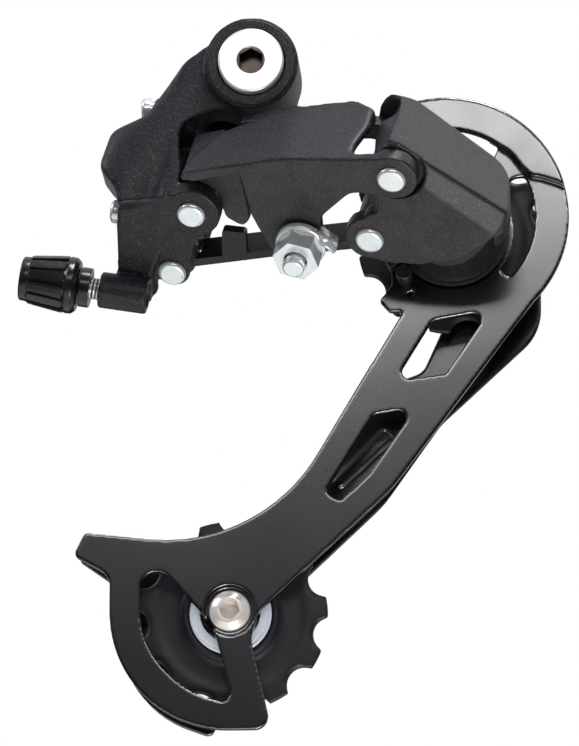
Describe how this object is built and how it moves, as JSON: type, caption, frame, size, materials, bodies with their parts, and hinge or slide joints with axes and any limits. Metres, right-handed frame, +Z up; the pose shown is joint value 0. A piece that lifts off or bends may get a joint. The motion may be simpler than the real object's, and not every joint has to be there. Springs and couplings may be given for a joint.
{
  "type": "rear bicycle derailleur",
  "caption": "Long-cage rear bicycle derailleur: hanger bolt and upper knuckle, slant parallelogram, sprung cage with two toothed pulleys, cable adjuster and clamp.",
  "frame": {"origin": "axis of the mounting bolt at the face that rests on the frame's hanger", "axes": "+X forward along the bicycle, +Y inboard towards the wheel along the mounting bolt, +Z up"},
  "size_m": [0.1214, 0.0582, 0.154],
  "materials": {
    "cast_black": "fine-grained matt black coating",
    "plate_black": "satin black paint, thin bright edges",
    "black_steel": "satin black",
    "zinc_steel": "bright zinc plating",
    "spring_steel": "drawn wire",
    "bare_steel": "turned",
    "nickel": "nickel plating",
    "brass": "plain bearing bush",
    "gloss_plastic": "moulded, glossy",
    "matte_plastic": "moulded, plain",
    "pulley_plastic": "moulded, dull sheen"
  },
  "bodies": {
    "mount": {"mounting_bolt": "zinc_steel", "stop_plate": "black_steel", "bolt_retaining_ring": "zinc_steel"},
    "upper_knuckle": {"b_knuckle": "cast_black", "b_bush": "matte_plastic", "b_spring": "spring_steel", "b_link_pins": "zinc_steel"},
    "high_limit": {"high_limit_screw": "zinc_steel"},
    "low_limit": {"low_limit_screw": "zinc_steel"},
    "tension_stop": {"b_tension_screw": "zinc_steel"},
    "adjuster_tube": {"adjuster_screw": "black_steel"},
    "adjuster_grip": {"adjuster_knob": "gloss_plastic", "adjuster_collar": "gloss_plastic"},
    "outer_link_body": {"outer_link": "cast_black", "outer_link_bush": "brass", "clamp_stud": "zinc_steel", "clamp_washer": "zinc_steel", "p_outer_pin": "zinc_steel"},
    "clamp_nut_body": {"clamp_nut": "zinc_steel"},
    "inner_link_body": {"inner_link": "black_steel", "inner_link_bushes": "brass", "return_spring": "spring_steel"},
    "lower_knuckle": {"p_knuckle": "cast_black", "p_inner_pin": "zinc_steel", "p_knuckle_link_bush": "brass", "p_spring": "spring_steel", "p_spring_cup": "black_steel", "p_bush": "matte_plastic"},
    "cage": {"p_axle": "zinc_steel", "p_retaining_ring": "zinc_steel", "outer_cage_plate": "plate_black", "inner_cage_plate": "plate_black", "cage_stop_pin": "zinc_steel", "guide_bolt": "nickel", "tension_bolt": "nickel", "tension_nut": "nickel", "guide_sleeve": "bare_steel", "tension_sleeve": "bare_steel", "guide_dust_caps": "zinc_steel", "tension_dust_caps": "zinc_steel"},
    "guide_wheel": {"guide_pulley": "pulley_plastic"},
    "tension_wheel": {"tension_pulley": "pulley_plastic"}
  },
  "joints": [
    {"name": "b_pivot", "type": "hinge", "parent": "mount", "child": "upper_knuckle", "pos_m": [0, 0, 0], "axis": [0, 1, 0], "range_deg": [0, 25], "stiffness_Nm_per_rad": 0.12, "springref_deg": -68.75},
    {"name": "outer_link_swing", "type": "hinge", "parent": "upper_knuckle", "child": "outer_link_body", "pos_m": [-0.0134, -0.018, -0.0343], "axis": [0.1736, 0.5789, 0.7967], "range_deg": [0, 48], "stiffness_Nm_per_rad": 0.15, "springref_deg": -57.3},
    {"name": "inner_link_swing", "type": "hinge", "parent": "upper_knuckle", "child": "inner_link_body", "pos_m": [-0.01906, -0.00212, -0.0446], "axis": [0.1736, 0.5789, 0.7967], "range_deg": [0, 48]},
    {"name": "lower_knuckle_swing", "type": "hinge", "parent": "outer_link_body", "child": "lower_knuckle", "pos_m": [0.03096, -0.03512, -0.03153], "axis": [0.1736, 0.5789, 0.7967], "range_deg": [-48, 0]},
    {"name": "cage_pivot", "type": "hinge", "parent": "lower_knuckle", "child": "cage", "pos_m": [0.0431, 0, -0.0329], "axis": [0, 1, 0], "range_deg": [-100, 0], "stiffness_Nm_per_rad": 0.08, "springref_deg": 171.89},
    {"name": "guide_pulley_spin", "type": "hinge", "parent": "cage", "child": "guide_wheel", "pos_m": [0.0431, 0.011, -0.0329], "axis": [0, 1, 0], "continuous": true},
    {"name": "tension_pulley_spin", "type": "hinge", "parent": "cage", "child": "tension_wheel", "pos_m": [-0.00596, 0.011, -0.1173], "axis": [0, 1, 0], "continuous": true},
    {"name": "high_limit_travel", "type": "slide", "parent": "upper_knuckle", "child": "high_limit", "axis": [-0.9848, 0.1021, 0.1405], "range_m": [0, 0.003]},
    {"name": "low_limit_travel", "type": "slide", "parent": "upper_knuckle", "child": "low_limit", "axis": [-0.9848, 0.1021, 0.1405], "range_m": [0, 0.003]},
    {"name": "b_tension_travel", "type": "slide", "parent": "upper_knuckle", "child": "tension_stop", "axis": [-1, 0, 0], "range_m": [0, 0.003]},
    {"name": "adjuster_travel", "type": "slide", "parent": "upper_knuckle", "child": "adjuster_tube", "axis": [-0.9871, 0, 0.1599], "range_m": [0, 0.004]},
    {"name": "adjuster_turn", "type": "hinge", "parent": "adjuster_tube", "child": "adjuster_grip", "pos_m": [-0.05183, -0.0005, -0.04303], "axis": [-0.9871, 0, 0.1599], "continuous": true},
    {"name": "clamp_nut_travel", "type": "slide", "parent": "outer_link_body", "child": "clamp_nut_body", "axis": [-0.1736, -0.5789, -0.7967], "range_m": [0, 0.001]}
  ],
  "couplings": [
    {"joint": "inner_link_swing", "follows": "outer_link_swing", "ratio": 1},
    {"joint": "lower_knuckle_swing", "follows": "outer_link_swing", "ratio": -1}
  ]
}
